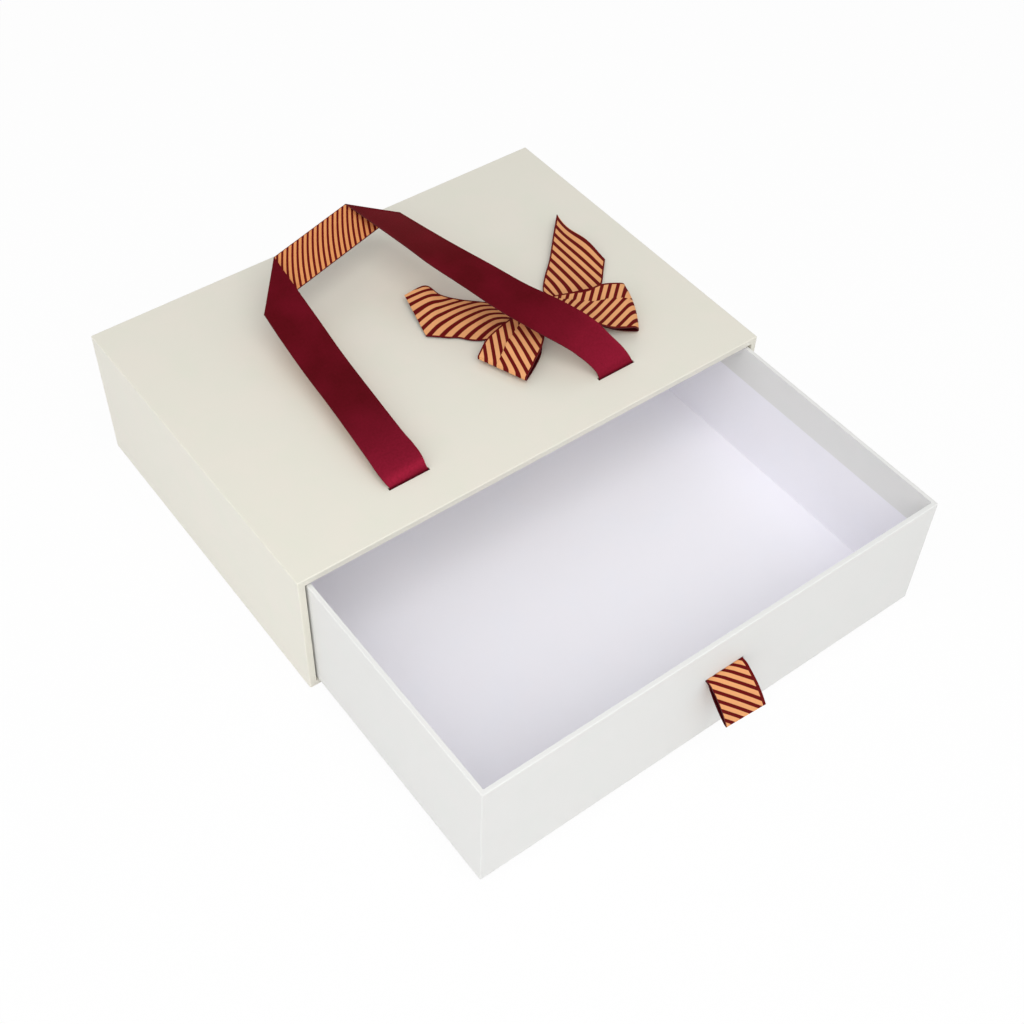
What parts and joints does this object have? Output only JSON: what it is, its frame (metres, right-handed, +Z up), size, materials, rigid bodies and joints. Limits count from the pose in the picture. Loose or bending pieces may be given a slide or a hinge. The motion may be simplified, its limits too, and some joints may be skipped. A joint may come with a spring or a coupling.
{
  "type": "sliding drawer gift box",
  "caption": "Rigid paper gift box: a sleeve open at the front with a sliding drawer, a ribbon carrying handle, a ribbon bow on the lid and a ribbon pull tab.",
  "frame": {"origin": "centre of the sleeve's underside", "axes": "+Z up, +X to the right along the drawer's front, drawer front faces -Y and slides out along -Y"},
  "size_m": [0.24, 0.3026, 0.0983],
  "materials": {
    "pearl_paper": "cream pearl coated paper, satin",
    "white_paper": "white coated paper, matte",
    "lining_paper": "white lining paper, matte",
    "stay_paper": "gummed paper, matte",
    "grey_board": "raw grey board",
    "handle_ribbon": "burgundy satin ribbon, striped on its reverse",
    "striped_ribbon": "woven ribbon with diagonal stripes",
    "hot_glue": "clear hot-melt glue"
  },
  "bodies": {
    "sleeve": {"sleeve_top_board": "grey_board", "sleeve_bottom_board": "grey_board", "sleeve_left_board": "grey_board", "sleeve_right_board": "grey_board", "sleeve_back_board": "grey_board", "sleeve_corner_stays": "stay_paper", "sleeve_wrap": "pearl_paper", "sleeve_lining": "lining_paper", "sleeve_base_sheet": "pearl_paper", "handle_end_left": "handle_ribbon", "handle_end_right": "handle_ribbon", "handle_patch_left": "stay_paper", "handle_patch_right": "stay_paper", "bow_tails": "striped_ribbon", "bow_loops": "striped_ribbon", "bow_knot": "striped_ribbon", "bow_glue_dot": "hot_glue"},
    "drawer": {"drawer_base_board": "grey_board", "drawer_front_board": "grey_board", "drawer_back_board": "grey_board", "drawer_left_board": "grey_board", "drawer_right_board": "grey_board", "drawer_corner_stays": "stay_paper", "drawer_wrap": "white_paper", "drawer_lining": "lining_paper", "drawer_base_sheet": "white_paper", "pull_end": "striped_ribbon", "pull_patch": "stay_paper"},
    "handle": {"handle_ribbon": "handle_ribbon"},
    "pull": {"pull_ribbon": "striped_ribbon"}
  },
  "joints": [
    {"name": "drawer_slide", "type": "slide", "parent": "sleeve", "child": "drawer", "axis": [0, -1, 0], "range_m": [-0.114, 0.055]},
    {"name": "handle_lift", "type": "hinge", "parent": "sleeve", "child": "handle", "pos_m": [0, -0.0655, 0.0745], "axis": [1, 0, 0], "range_deg": [0, 140]},
    {"name": "pull_lift", "type": "hinge", "parent": "drawer", "child": "pull", "pos_m": [0.0015, -0.2003, 0.0443], "axis": [-1, 0, 0], "range_deg": [0, 60]}
  ]
}
